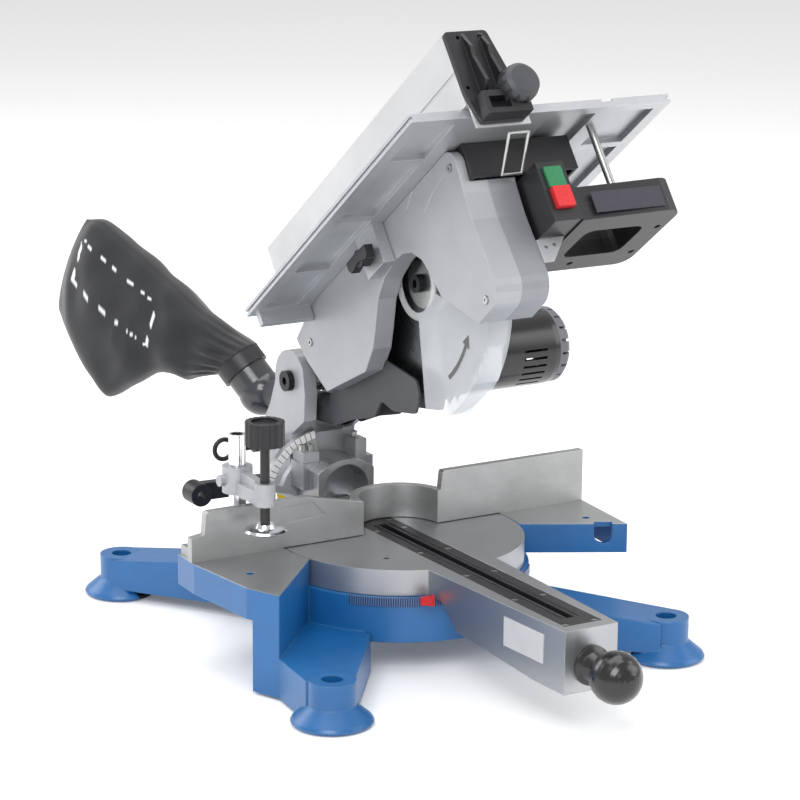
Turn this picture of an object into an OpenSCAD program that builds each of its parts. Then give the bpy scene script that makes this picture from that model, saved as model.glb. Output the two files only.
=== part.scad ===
// Mitre saw with an upper saw table: a turntable and arm on a four-legged casting, a tilting
// bracket behind them, and a chopping head that carries the blade, motor, handle and table.
// Axes: +X to the operator's right, +Y to the back, +Z up. The origin is on the bench, at the
// centre of the four bench bolts.

/* [Base] */
// Height of the working surface above the bench
table_z = 110; // [106:1:118]
// Distance between the bench bolts, left to right
bench_pitch_x = 400; // [390:2:420]
// Distance between the bench bolts, front to back
bench_pitch_y = 480; // [470:2:500]
// Radius of a bench bolt hole
bench_hole_r = 4.5; // [3:0.5:5]
// Radius of a foot
foot_r = 41.5; // [36:0.5:46]
// How far the swivel axis stands in front of the bolts' centre
swivel_forward = 32; // [20:1:40]

/* [Turntable] */
// Radius of the turntable
turntable_r = 132.5; // [128:0.5:136]
// How far the arm reaches in front of the swivel axis
arm_reach = 360; // [345:1:380]
// Width of the arm's end
arm_end_w = 61; // [56:1:70]
// Width of the slotted insert
insert_w = 44; // [38:1:50]
// Width of the blade's slot in the insert
kerf_w = 9; // [6:0.5:12]
// Diameter of the ball on the front knob
front_knob_d = 52; // [44:1:58]

/* [Fence and clamp] */
// Overall length of the fence
fence_len = 484; // [470:2:500]
// Height of the fence above the table
fence_h = 58; // [50:1:64]
// Thickness of the fence's face
fence_t = 9; // [7:0.5:11]
// Diameter of the clamp's post
post_d = 18; // [15:0.5:20]
// Travel of the clamp's screw
clamp_travel = 30; // [20:1:32]

/* [Blade and head] */
// Radius of the blade
blade_r = 127; // [120:1:130]
// Thickness of the blade's body
blade_t = 1.8; // [1.6:0.1:2.4]
// Number of teeth
teeth = 48; // [24:4:60]
// Height of the chopping hinge above the table
hinge_up = 136; // [132:1:145]
// Distance from the chopping hinge to the arbor
arbor_reach = 265; // [262:1:275]
// Height of the hinge above the arbor when the head is down
arbor_drop = 16.5; // [12:0.5:18]
// Rise of the head from its lowest place, in degrees
head_lift = 36.8; // [30:0.1:38]
// Thickness of the head's castings
wall = 4; // [3:0.5:5]
// Radius of the hinge bolt
hinge_r = 7; // [5:0.5:8]

/* [Motor and handle] */
// Outer radius of the motor
motor_r = 43.5; // [40:0.5:46]
// How far the motor reaches to the right
motor_end = 236; // [220:1:250]
// How far the handle reaches to the right
handle_end = 178; // [172:1:190]
// Thickness of the handle
handle_t = 36; // [32:1:38]

/* [Saw table] */
// Length of the saw table, front to back
upper_len = 422; // [415:1:440]
// Width of the saw table
upper_w = 302; // [296:1:310]
// Thickness of the saw table at its rim
upper_t = 9; // [8:0.5:11]
// Height of the rip fence
rip_h = 77; // [60:1:80]

/* [Hidden] */
$fn = 64;
run_fit = 0.05;
gap = 0.3;
saw_y = -swivel_forward;

// base
wing_h = 32;
ring_r = turntable_r + 5;
ring_top = table_z - 28;
ring_bottom = 34;
foot_plan = [bench_pitch_x / 2, bench_pitch_y / 2];
foot_front = -foot_plan[1] - saw_y;
foot_back = foot_plan[1] - saw_y;
leg_top = 44;
leg_w = 58;
hub_r = 14;

// turntable
arm_root_w = 82;
disc_bottom = ring_top + 0.4;
arm_h = table_z - 46;
insert_t = 6;
insert_front = -arm_reach + 14;
insert_back = 62;
kerf_back = 40;
knob_z = table_z - 38;

// tilting housing
housing_front = 116;
housing_back = 161.7;
housing_r = 31;
housing_top = table_z + 54;
crown_r = (housing_r + 4) / cos(50);
tilt_r = 8;
bracket_back = 232;

// head, measured from the chopping hinge with the table level
hinge_y = 172;
hinge_z = table_z + hinge_up;
cover_x0 = -38;
seam_x = -8;
house_x1 = 24;
ear_in = 24.4;
ear_out = 40;
ear_r = 34;
duct_room = 54;
barrel_r = 15;
seat_w = 47.5;
front_h = -arbor_reach - 176;
arbor = [-arbor_reach, -arbor_drop];
shaft_r = 8;
motor_axis = [-90, -31];
belt_x = 34;
belt_w = 9;
arbor_pulley_r = 24;
motor_pulley_r = 16;
belt_t = 3;
guard_r = blade_r + 11;
guard_rim = 3;
guard_half = 13.5;
hood_z = 10;
hood_back = arbor[0] - guard_r - guard_rim;

// handle and switch
switch_x = [28, 60];
switch_h = [-474, -387];
switch_w = [-58, 6.5];
handle_front = -477;
handle_back = -357;
handle_top = -23.5;
handle_w = [handle_top - handle_t, handle_top];
button_d = 5;
button_clear = 0.3;

// saw table
table_x = [-110, -110 + upper_w];
table_front = -500;
table_h = [table_front, table_front + upper_len];
under_w = seat_w + 0.3;
top_w = under_w + upper_t;
post_place = [116, -461.5];
post_r = 4;
rip_x = [-50, -20];
rip_front = table_front - 8;
rip_back = table_h[1] + 18;

// ---------- helpers ----------

// The saw's own frame has the swivel axis at x = 0, y = 0
module saw() translate([0, saw_y, 0]) children();

// The head's frame has the chopping hinge as its X axis, and the table level at w = 0
module head() saw() translate([0, hinge_y, hinge_z]) rotate([-head_lift, 0, 0]) children();

// A profile drawn as (back, up) is extruded along X from x0 to x1
module along_x(x0, x1) translate([x0, 0, 0]) rotate([90, 0, 90]) linear_extrude(x1 - x0) children();

// A profile drawn as (x, z) is extruded along Y from y0 to y1
module along_y(y0, y1) translate([0, y1, 0]) rotate([90, 0, 0]) linear_extrude(y1 - y0) children();

// A cylinder along X
module rod_x(x0, x1, r) translate([x0, 0, 0]) rotate([0, 90, 0]) cylinder(h = x1 - x0, r = r);

// A cylinder along Y
module rod_y(y0, y1, r) translate([0, y0, 0]) rotate([-90, 0, 0]) cylinder(h = y1 - y0, r = r);

// A box from its lowest to its highest corner
module block(a, b) translate(a) cube(b - a);

// Points on an arc from angle a0 to a1
function arc(c, r, a0, a1, n = 8) =
    [for (i = [0:n]) let (a = a0 + (a1 - a0) * i / n) c + r * [cos(a), sin(a)]];

// A clockwise or counter-clockwise outline moved in by t on every side
function unit(v) = v / norm(v);
function left_of(v) = [-v[1], v[0]];
function inset(p, t) = let (n = len(p)) [for (i = [0:n - 1])
    let (a = left_of(unit(p[i] - p[(i + n - 1) % n])),
         b = left_of(unit(p[(i + 1) % n] - p[i])))
    p[i] + t * (a + b) / (1 + a * b)];

// Each corner of an outline becomes a short curve that starts up to r away from it
function soften(p, r, n = 3) = let (m = len(p)) [for (i = [0:m - 1])
    let (before = p[(i + m - 1) % m] - p[i],
         after = p[(i + 1) % m] - p[i],
         a = p[i] + unit(before) * min(r, norm(before) * 0.4),
         b = p[i] + unit(after) * min(r, norm(after) * 0.4))
    for (k = [0:n]) let (t = k / n)
        (1 - t) * (1 - t) * a + 2 * t * (1 - t) * p[i] + t * t * b];

// A round sector of a disc about the Y axis, angles from +X towards +Z
module sector(r0, r1, a0, a1) polygon(concat(arc([0, 0], r1, a0, a1, 20), arc([0, 0], r0, a1, a0, 20)));

// ---------- base ----------

left_wing = [[-242, 7], [-232, -90], [-216, -129], [-128, -33], [-100, 48], [-240, 48]];
right_wing = [[242, 7], [232, -90], [128, -33], [100, 48], [240, 48]];
left_leg = [[-229, -97], [-216, -129], [-foot_plan[0] - 24, foot_front + 10],
    [-foot_plan[0] + 24, foot_front - 4], [-96, -104], [-128, -33]];

module foot(x, y) translate([x, y, 0]) {
    rotate_extrude() polygon([[0, 0], [bench_hole_r + 4.5, 0], [bench_hole_r + 4.5, 1], [foot_r - 2, 1], [foot_r, 4], [foot_r - 2, 7],
        [foot_r - 15, 18], [24, 20], [24, leg_top + 1.5], [0, leg_top + 1.5]]);
}

module pad_recess() difference() {
    translate([0, 0, -1]) cylinder(h = 5, r = foot_r - 6);
    translate([0, 0, -2]) cylinder(h = 8, r = bench_hole_r + 4.5);
}

// A leg from the ring to a foot, with a top that falls from the ring to the foot
module leg(x, y, drop) {
    run = norm([x, y]);
    turn = atan2(y, x);
    rotate(turn) rotate([90, 0, 0]) translate([0, 0, -leg_w / 2]) linear_extrude(leg_w)
        polygon([[90, 12], [run, 12], [run, leg_top], [ring_r + 8, leg_top + drop], [90, leg_top + drop]]);
}

module leg_hollow(x, y) rotate(atan2(y, x))
    block([ring_r + 4, -leg_w / 2 + 6, -1], [norm([x, y]) - 26, leg_w / 2 - 6, leg_top - 8]);

module wing(outline, open) difference() {
    translate([0, 0, table_z - wing_h]) linear_extrude(wing_h) polygon(outline);
    translate([0, 0, table_z - wing_h - 1]) linear_extrude(wing_h - 5) polygon(inset(outline, open));
}

module base_casting() color("#2c72ab") saw() difference() {
    union() {
        translate([0, 0, ring_bottom]) cylinder(h = ring_top - ring_bottom, r = ring_r);
        wing(left_wing, 6);
        wing(right_wing, -6);
        translate([0, 0, 3]) linear_extrude(leg_top - 3) polygon(left_leg);
        translate([0, 0, leg_top - 2]) linear_extrude(table_z - leg_top - 3)
            polygon([[-229, -97], [-216, -129], [-128, -33], [-120, -12]]);
        leg(foot_plan[0], foot_front, 14);
        leg(-foot_plan[0], foot_back, 20);
        leg(foot_plan[0], foot_back, 20);
        for (s = [-1, 1]) {
            foot(s * foot_plan[0], foot_front);
            foot(s * foot_plan[0], foot_back);
            block([min(s * 96, s * 146), -14, 50], [max(s * 96, s * 146), 46, table_z - 4]);
        }
        // bosses that carry the fence
        for (x = fence_bolt_x) translate([x, fence_bolt_y, table_z - wing_h]) cylinder(h = wing_h, r = 12);
    }
    // seat of the turntable, hollow underneath, and the bore of the swivel bolt
    translate([0, 0, ring_top]) cylinder(h = 60, r = turntable_r + 1.2);
    translate([0, 0, ring_bottom - 1]) cylinder(h = ring_top - ring_bottom - 9, r = ring_r - 8);
    translate([0, 0, ring_bottom - 2]) cylinder(h = 90, r = hub_r + run_fit);
    // hollow under the front left leg
    translate([0, 0, -1]) linear_extrude(leg_top - 5) polygon(inset([[-229, -97], [-216, -129],
        [-foot_plan[0] + 2, foot_front + 46], [-112, -96], [-128, -33]], 7));
    leg_hollow(foot_plan[0], foot_front);
    leg_hollow(foot_plan[0], foot_back);
    leg_hollow(-foot_plan[0], foot_back);
    for (s = [-1, 1]) for (y = [foot_front, foot_back]) translate([s * foot_plan[0], y, 0]) {
        translate([0, 0, -1]) cylinder(h = 60, r = bench_hole_r);
        translate([0, 0, leg_top - 10]) cylinder(h = 20, r = 11);
        pad_recess();
    }
    // notch in the front wall of the right wing
    translate([209, -77.4, table_z - 12]) rotate([0, 0, -28.7]) {
        block([-9.9, -9, 0], [9.9, 9, 20]);
        rod_y(-9, 9, 10);
    }
    // threaded holes of the fence bolts
    for (x = fence_bolt_x) translate([x, fence_bolt_y, table_z - 22]) cylinder(h = 40, r = 3.4);
    // holes for the extension bars
    for (s = [-1, 1]) translate([s * 206, -48, table_z - 10]) cylinder(h = 20, r = 4);
}

module mitre_scale() color("#16315e") saw() difference() {
    translate([0, 0, ring_top - 9]) cylinder(h = 9, r = ring_r + 1.5);
    translate([0, 0, ring_top - 10]) cylinder(h = 20, r = ring_r);
    block([-200, -70, 0], [200, 200, table_z]);
    block([-200, -200, 0], [-110, 200, table_z]);
    block([110, -200, 0], [200, 200, table_z]);
}

fence_bolt_x = [-214, -152, 152, 214];
fence_bolt_y = 32;
arc_x = 8;
arc_r = 46;
arc_h = 37;
left_h = fence_h - 6;

module fence() color("silver") saw() difference() {
    union() {
        // the left wing of the fence falls away towards the blade
        along_y(12, 12 + fence_t) polygon([[-fence_len / 2, table_z], [arc_x - arc_r, table_z],
            [arc_x - arc_r, table_z + arc_h], [-98, table_z + left_h - 2], [-104, table_z + left_h],
            [-fence_len / 2 + 20, table_z + left_h], [-fence_len / 2 + 17, table_z + left_h - 2],
            [-fence_len / 2 + 15, table_z + 28], [-fence_len / 2, table_z + 26]]);
        along_y(12, 12 + fence_t) polygon([[arc_x + arc_r, table_z], [fence_len / 2, table_z],
            [fence_len / 2, table_z + fence_h], [arc_x + arc_r + 8, table_z + fence_h],
            [arc_x + arc_r + 6, table_z + fence_h - 2]]);
        // feet behind the faces
        block([-fence_len / 2 + 6, 12, table_z], [-70, 48, table_z + 10]);
        block([66, 12, table_z], [fence_len / 2 - 6, 48, table_z + 10]);
        for (x = [-196, -110, 110, 172, 192]) along_x(x - 3, x + 3)
            polygon([[12, table_z], [46, table_z], [12 + fence_t, table_z + left_h - 8]]);
        // the bridge that runs round behind the blade
        translate([arc_x, 12, table_z]) difference() {
            cylinder(h = arc_h, r = arc_r + fence_t);
            block([-100, -100, -1], [100, 0, 100]);
        }
        // socket of the clamp's post
        translate([clamp_x, clamp_y, table_z]) cylinder(h = 26, r = post_d / 2 + 5);
    }
    translate([arc_x, 12, table_z - 1]) cylinder(h = 100, r = arc_r);
    translate([clamp_x, clamp_y, table_z + 4]) cylinder(h = 40, r = post_d / 2 + run_fit);
    for (x = fence_bolt_x) translate([x, fence_bolt_y, table_z - 1]) cylinder(h = 12, r = 4.2);
    for (x = fence_bolt_x) translate([x, fence_bolt_y, table_z + 10]) cylinder(h = fence_h, r = 9);
    // the turntable turns under the middle of the fence
    block([-turntable_r - 2, 11, table_z - 1], [turntable_r + 2, 80, table_z + 0.8]);
    // recess of the angled end piece
    along_y(11, 13) polygon([[-fence_len / 2 + 102, table_z + 26], [-84, table_z + 30],
        [-100, table_z + left_h - 6], [-fence_len / 2 + 102, table_z + left_h - 8]]);
}

module fence_bolts() color("dimgray") saw() for (x = fence_bolt_x)
    translate([x, fence_bolt_y, table_z + 10]) difference() {
        union() {
            cylinder(h = 6.5, r = 6.5);
            translate([0, 0, -28]) cylinder(h = 29, r = 3.4);
        }
        translate([0, 0, 3]) cylinder(h = 5, r = 3.2, $fn = 6);
    }

module swivel_bolt() color("dimgray") saw() {
    translate([0, 0, 24]) cylinder(h = disc_bottom - 24 + 12, r = hub_r);
    translate([0, 0, 16]) cylinder(h = 8.01, r = 22);
}

module foot_pads() color("black") saw() for (s = [-1, 1]) for (y = [foot_front, foot_back])
    translate([s * foot_plan[0], y, 0]) difference() {
        cylinder(h = 4, r = foot_r - 6.2);
        translate([0, 0, -1]) cylinder(h = 8, r = bench_hole_r + 4.8);
    }

// ---------- turntable ----------

insert_screw_y = [-340, -250, -160, -70, 20, 52];

module arm_body() {
    // sides narrow from the turntable to the end, and the underside rises to meet the ring
    intersection() {
        translate([0, 0, 30]) linear_extrude(table_z - 30) polygon([[-arm_root_w / 2, -40],
            [-arm_root_w / 2, -130], [-arm_end_w / 2, -arm_reach], [arm_end_w / 2, -arm_reach],
            [arm_root_w / 2, -130], [arm_root_w / 2, -40]]);
        along_x(-60, 60) polygon([[-arm_reach, table_z - arm_h], [-312, table_z - arm_h + 0.4],
            [-178, table_z - arm_h + 12], [-150, disc_bottom], [-40, disc_bottom], [-40, table_z], [-arm_reach, table_z]]);
    }
}

module turntable_casting() color("#b9bbbd") saw() difference() {
    union() {
        translate([0, 0, disc_bottom]) cylinder(h = table_z - disc_bottom, r = turntable_r, $fn = 96);
        arm_body();
        // housing of the tilt bolt
        along_y(housing_front, housing_back) polygon(concat([[-housing_r - 4, table_z - 26],
            [housing_r + 4, table_z - 26]], arc([0, housing_top - crown_r], crown_r, 50, 130, 12)));
        // seat of the stop blocks
        block([-44, 134, table_z + 20], [44, housing_back, table_z + 50]);
        // carrier of the tilt scale
        block([-62, 150, table_z - 20], [-30, 158, table_z + 2]);
    }
    // pocket of the slotted insert
    block([-insert_w / 2 - 0.2, insert_front - 0.2, table_z - insert_t],
        [insert_w / 2 + 0.2, insert_back + 0.2, table_z + 1]);
    // chip trough under the slot
    block([-14, -arm_reach + 30, table_z - 18], [14, kerf_back + 8, table_z]);
    // hollow of the arm
    along_x(-24, 24) polygon([[-arm_reach + 10, table_z - 56], [-arm_reach + 10, table_z - 24],
        [-150, table_z - 24], [-150, disc_bottom - 2], [-176, 30]]);
    // ribs stay under the disc
    for (a = [0:60:300]) rotate(a + 30) translate([0, 0, disc_bottom - 1]) linear_extrude(15)
        polygon(concat(arc([0, 0], 122, -26, 26, 10), arc([0, 0], 34, 18, -18, 4)));
    // mouth and hollow of the housing
    translate([0, 0, table_z + 20]) rod_y(housing_front - 1, housing_back - 12, housing_r - 3);
    translate([0, 0, table_z]) rod_y(housing_front - 1, housing_back - 12, 15);
    // bores of the tilt bolt, the swivel bolt and the lock rod
    translate([0, 0, table_z]) rod_y(100, 200, tilt_r + run_fit);
    translate([0, 0, 20]) cylinder(h = disc_bottom - 20 + 12.4, r = hub_r + run_fit);
    translate([0, 0, knob_z]) rod_y(-arm_reach - 1, -120, 5 + run_fit);
    for (s = [-1, 1]) for (y = insert_screw_y)
        translate([s * 17, y, table_z - 16]) cylinder(h = 20, r = 1.8);
    // small hole beside the slot
    translate([-58, -70, table_z - 8]) cylinder(h = 10, r = 3.5);
}

module kerf_insert() color("#1c1c1e") saw() difference() {
    block([-insert_w / 2, insert_front, table_z - insert_t + 0.01], [insert_w / 2, insert_back, table_z - 0.3]);
    block([-kerf_w / 2, insert_front + 22, table_z - 20], [kerf_w / 2, kerf_back, table_z + 1]);
    // shallow channel on each side of the slot
    for (s = [-1, 1]) block([s * 9 - 2, insert_front + 22, table_z - 1.5], [s * 9 + 2, kerf_back, table_z + 1]);
    for (s = [-1, 1]) for (y = insert_screw_y) translate([s * 17, y, 0]) {
        cylinder(h = table_z + 1, r = 2.2);
        translate([0, 0, table_z - 2.8]) cylinder(h = 5, r = 3.8);
    }
}

module insert_screws() color("gray") saw() for (s = [-1, 1]) for (y = insert_screw_y)
    translate([s * 17, y, table_z]) difference() {
        union() {
            translate([0, 0, -2.8]) cylinder(h = 2, r = 3.6);
            translate([0, 0, -14]) cylinder(h = 12, r = 1.8);
        }
        block([-3, -0.4, -1.6], [3, 0.4, 1]);
    }

module mitre_pointer() color("#c8202a") saw() along_y(-ring_r - 6, -ring_r - 3.5)
    polygon([[-60, ring_top - 2], [-44, ring_top - 6], [-44, ring_top + 6], [-60, ring_top + 6]]);

module arm_label() color("#d8d8da") saw() {
    a = atan2((arm_root_w - arm_end_w) / 2, arm_reach - 130);
    translate([-arm_end_w / 2, -arm_reach, 0]) rotate(a)
        block([-0.8, 34, table_z - 42], [-0.01, 100, table_z - 12]);
}

module bevel_scale() color("#e4e4e2") saw() translate([0, 0, table_z]) along_y(161, 161.99)
    sector(71, 79.5, 101, 167);

module tilt_bolt() color("dimgray") saw() translate([0, 0, table_z]) {
    rod_y(128, 262, tilt_r);
    rotate([-90, 0, 0]) translate([0, 0, 118]) cylinder(h = 10.01, r = 13, $fn = 6);
}

module stop_blocks() color("#9a9c9e") saw() {
    block([-43, 136, table_z + 50.01], [-23, 160, table_z + 61]);
    block([23, 136, table_z + 50.01], [37, 161, table_z + 69]);
}

module stop_screws() color("#d0d0d0") saw() {
    for (x = [-38, -28]) translate([x, 148, table_z + 61.01]) difference() {
        cylinder(h = 7, r = 4);
        translate([0, 0, 4]) cylinder(h = 5, r = 2, $fn = 6);
    }
    translate([29, 150, table_z + 69.01]) difference() {
        cylinder(h = 6, r = 4);
        translate([0, 0, 3]) cylinder(h = 5, r = 2, $fn = 6);
    }
}

module front_lock_knob() color("#2b2a2e") saw() translate([0, 0, knob_z]) rotate([90, 0, 0])
    translate([0, 0, arm_reach + 0.3]) difference() {
        rotate_extrude() polygon(concat([[0, 0], [20, 0], [20, 3], [15, 6], [11, 14], [11, 18]],
            [for (i = [0:14]) let (a = -62 + 152 * i / 14)
                [max(0, front_knob_d / 2 * cos(a)), 18 + front_knob_d * 0.46 + front_knob_d / 2 * sin(a)]]));
        translate([0, 0, -1]) cylinder(h = 13, r = 5);
    }

module lock_rod() color("gray") saw() translate([0, 0, knob_z]) rod_y(-arm_reach - 11.3, -ring_r - 6, 5);

// ---------- clamp ----------

clamp_x = -176;
clamp_y = 36;
clamp_out = -61;
post_top = table_z + 124;
arm_z = table_z + 62;
screw_r = 5;

module clamp_post() color("#d6d8da") saw() translate([clamp_x, clamp_y, 0]) difference() {
    union() {
        translate([0, 0, table_z + 4.1]) cylinder(h = post_top - table_z - 4.1, r = post_d / 2);
        translate([0, 0, table_z + 26.2]) cylinder(h = 6, r = post_d / 2 + 4);
    }
    translate([0, 0, post_top - 30]) cylinder(h = 31, r = post_d / 2 - 2.5);
}

module clamp_arm() color("#b5b7ba") saw() translate([clamp_x, clamp_y, arm_z]) difference() {
    union() {
        cylinder(h = 28, r = 16);
        translate([0, clamp_out, 0]) cylinder(h = 24, r = 11);
        block([-9, clamp_out, 0], [9, 0, 14]);
        along_x(-5, 5) polygon([[clamp_out, 12], [0, 12], [0, 26], [clamp_out, 22]]);
        translate([0, 0, 14]) rod_x(-22, -14, 6);
    }
    translate([0, 0, -1]) cylinder(h = 40, r = post_d / 2 + run_fit);
    translate([0, clamp_out, -1]) cylinder(h = 40, r = screw_r + run_fit);
}

pad_z = table_z + 34;

module clamp_screw() color("#232325") saw() translate([clamp_x, clamp_y + clamp_out, 0]) {
    translate([0, 0, pad_z + 4.3]) cylinder(h = clamp_travel + 74, r = screw_r);
    translate([0, 0, pad_z + 62 + clamp_travel]) difference() {
        cylinder(h = 25, r = 20.5);
        for (i = [0:17]) rotate(i * 20) translate([22, 0, -1]) cylinder(h = 30, r = 2.6);
        translate([0, 0, 22]) cylinder(h = 5, r = 14);
    }
}

module clamp_pad() color("#dfe1e3") saw() translate([clamp_x, clamp_y + clamp_out, pad_z]) difference() {
    rotate_extrude() polygon([[0, 0], [21, 0], [22.5, 1.5], [20, 3.5], [11, 5], [9, 9], [0, 9]]);
    translate([0, 0, 4]) cylinder(h = 10, r = screw_r + run_fit);
}

// ---------- tilting bracket ----------

ear_profile = concat(arc([0, 0], ear_r, 150, -10, 16),
    [[46, -36], [60, -56], [60, -hinge_up + 8], [-4, -hinge_up + 8], [-4, -60], [-32, -40], [-34, -10]]);

module bevel_bracket() color("#d4d5d6") saw() difference() {
    union() {
        // two ears that hold the chopping hinge
        for (x = [[-ear_out, -ear_in], [ear_in, ear_out]])
            translate([0, hinge_y, hinge_z]) along_x(x[0], x[1]) polygon(ear_profile);
        // block between the ears, on the tilt bolt's flange
        block([-ear_out, 168, table_z + 2], [ear_out, bracket_back, table_z + 74]);
        translate([0, 0, table_z]) rod_y(162, 200, 42);
        // curved cheek beside the tilt scale
        translate([0, 0, table_z]) along_y(162, 170) sector(40, 80, 100, 168);
        // boss of the head's lock pin
        translate([0, 180, table_z + 66]) rod_x(-52, -38, 9);
    }
    translate([0, 0, table_z]) rod_y(150, 280, tilt_r + run_fit);
    translate([0, hinge_y, hinge_z]) rod_x(-60, 60, hinge_r + run_fit);
    translate([0, 180, table_z + 66]) rod_x(-60, -18, 5 + run_fit);
    // room for the head's barrel and dust duct between the ears
    translate([0, hinge_y, hinge_z]) rod_x(-ear_in, ear_in, duct_room);
    // slot in the cheek
    translate([0, 0, table_z]) along_y(161, 171) sector(58, 70, 110, 160);
    // hollow at the back
    block([-28, 206, table_z + 14], [28, bracket_back + 1, table_z + 60]);
}

module bevel_pointer() color("#e6c81e") saw() translate([0, 0, table_z]) along_y(158.01, 159.5)
    polygon([[-60, 0], [-48, 0], [-52, 8], [-64, 14]]);

module hinge_bolt() color("#3c3d40") saw() translate([0, hinge_y, hinge_z]) difference() {
    union() {
        rod_x(-ear_out - 0.01, ear_out + 0.01, hinge_r);
        rod_x(-ear_out - 7, -ear_out, 11.5);
        rod_x(ear_out, ear_out + 8, 11.5);
    }
    translate([-ear_out - 8, 0, 0]) rotate([0, 90, 0]) cylinder(h = 6, r = 5, $fn = 6);
}

spring_r = hinge_r + 5;
module return_spring() color("#8d8f92") saw() translate([0, hinge_y, hinge_z]) rotate([0, 90, 0])
    for (i = [0:6]) translate([0, 0, -ear_in + 1.4 + i * 2.6]) rotate_extrude() translate([spring_r, 0]) circle(r = 1.4, $fn = 16);

lever_y = 236;
module bevel_lock_lever() color("#1d1d1f") saw() translate([0, 0, table_z]) difference() {
    union() {
        rod_y(lever_y, lever_y + 18, 16);
        along_y(lever_y + 4, lever_y + 16) polygon([[0, -9], [0, 9], [-122, 12], [-130, 6],
            [-130, -2], [-122, -8]]);
        translate([-118, 0, 0]) rod_y(lever_y - 2, lever_y + 22, 13);
    }
    rod_y(lever_y - 5, lever_y + 30, tilt_r + run_fit);
    translate([-118, 0, 0]) rod_y(lever_y - 5, lever_y + 30, 5);
}

module head_lock_pin() color("#26262a") saw() translate([0, 180, table_z + 66]) {
    rod_x(-108, -32, 5);
    rod_x(-82, -62, 8);
    translate([-118, 0, 0]) rotate([90, 0, 0]) rotate_extrude() translate([11, 0]) circle(r = 2.6, $fn = 20);
}

// ---------- head ----------

side_front = [[-39, 32], [-93, seat_w]];
nose = concat(arc([front_h + 14, seat_w - 16], 16, 90, 180, 6),
    [[front_h + 3, -2], [front_h + 5, -30], [front_h + 3, -80]],
    arc([front_h + 28, -92], 26, 190, 262, 5));
window = [[-388, -119], [-378, -108], [-341, -68], [-335, -40], [-328, -18], [-314, -3], [-297, 4],
    [-279, 5], [-250, 0], [-225, -12], [-201, -35], [-184, -50], [-156, -62.5]];
cover_outline = concat(side_front, nose, window, [[-67, -44.5], [-46, 2]]);
house_outline = concat(side_front, nose, [[-388, -119], [-372, -104], [-340, -78], [-310, -66],
    [-156, -62.5], [-67, -44.5], [-46, 2]]);

module hood_step() {
    // the black shroud sits in a step at the front of the castings
    block([-28, front_h - 10, hood_z], [house_x1 + 1, hood_back + 0.3, seat_w + 1]);
}

// Each cover screw: back, up, and the length of its shank
cover_screw_at = [[-429, 31, 9], [-413.8, -106, 42], [-66, 15, 42]];

module head_cover() color("#c3c5c8") head() difference() {
    along_x(cover_x0, seam_x - 0.01) polygon(cover_outline);
    along_x(cover_x0 + wall, seam_x + 1) polygon(inset(cover_outline, wall));
    hood_step();
    chute_room();
    translate([0, arbor[0], arbor[1]]) rod_x(-guard_half - 2, 1, guard_r + guard_rim + 2);
    for (p = cover_screw_at) translate([cover_x0, p[0], p[1]]) {
        rod_x(-1, 1.5, 4.3);
        rod_x(-1, 10, 2.3);
    }
    // two raised lines become shallow grooves
    along_x(cover_x0 - 0.01, cover_x0 + 0.8) polygon(concat(arc([-420, -120], 180, 92, 60, 8), arc([-420, -120], 178, 60, 92, 8)));
    along_x(cover_x0 - 0.01, cover_x0 + 0.8) polygon(concat(arc([-420, -120], 150, 88, 66, 8), arc([-420, -120], 148, 66, 88, 8)));
}

module gear_housing() color("#aeb0b4") head() difference() {
    union() {
        difference() {
            along_x(seam_x, house_x1) polygon(house_outline);
            along_x(seam_x - 1, house_x1 - wall) polygon(inset(house_outline, wall));
            // the blade and its guard turn inside and come through the bottom and the top
            translate([0, arbor[0], arbor[1]]) rod_x(seam_x - 1, guard_half + 2, guard_r + guard_rim + 2);
        }
        // bosses of the cover screws
        for (p = cover_screw_at) translate([seam_x, p[0], p[1]]) rod_x(0, house_x1 - wall / 2 - seam_x, 7);
        // bearing of the arbor, which also carries the guard
        translate([0, arbor[0], arbor[1]]) {
            rod_x(10, house_x1 + 4, 29.95);
        }
        // barrel of the chopping hinge, on an arm behind the castings
        rod_x(-5, ear_in - 0.4, barrel_r);
        along_x(4, house_x1 - 0.4) polygon([[-60, -30], [-60, 24], [-6, 14.9], [-6, -13]]);
        // neck of the motor
        translate([0, motor_axis[0], motor_axis[1]]) rod_x(house_x1 - 1, house_x1 + 28, motor_r - 6);
        along_x(house_x1 - 1, house_x1 + 28) polygon(belt_case(6));
    }
    hood_step();
    chute_room();
    for (p = cover_screw_at) translate([seam_x, p[0], p[1]]) rod_x(-1, 18, 2.3);
    translate([0, arbor[0], arbor[1]]) rod_x(0, 100, shaft_r + run_fit);
    rod_x(-20, 40, hinge_r + run_fit);
    // room for the belt and its pulleys, and for the motor's shaft
    along_x(belt_x - belt_w / 2 - 2, house_x1 + 25) polygon(belt_case(2.5));
    translate([0, motor_axis[0], motor_axis[1]]) rod_x(belt_x, 60, 10);
}

// Outline round the two pulleys, t outside the belt
function belt_case(t) = let (
    d = motor_axis - arbor,
    a = atan2(d[1], d[0]),
    r0 = arbor_pulley_r + belt_t + t,
    r1 = motor_pulley_r + belt_t + t,
    b = acos((r0 - r1) / norm(d)))
    concat(arc(arbor, r0, a + b, a + 360 - b, 24), arc(motor_axis, r1, a - b, a + b, 16));

module cover_screws() color("#6b6d70") head() for (p = cover_screw_at)
    translate([cover_x0 + 1.5, p[0], p[1]]) difference() {
        union() {
            rod_x(-3, 0, 4);
            rod_x(-1, p[2] - 1.5, 2.2);
        }
        translate([-4, 0, 0]) rotate([0, 90, 0]) cylinder(h = 2.6, r = 2, $fn = 6);
    }

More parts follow.
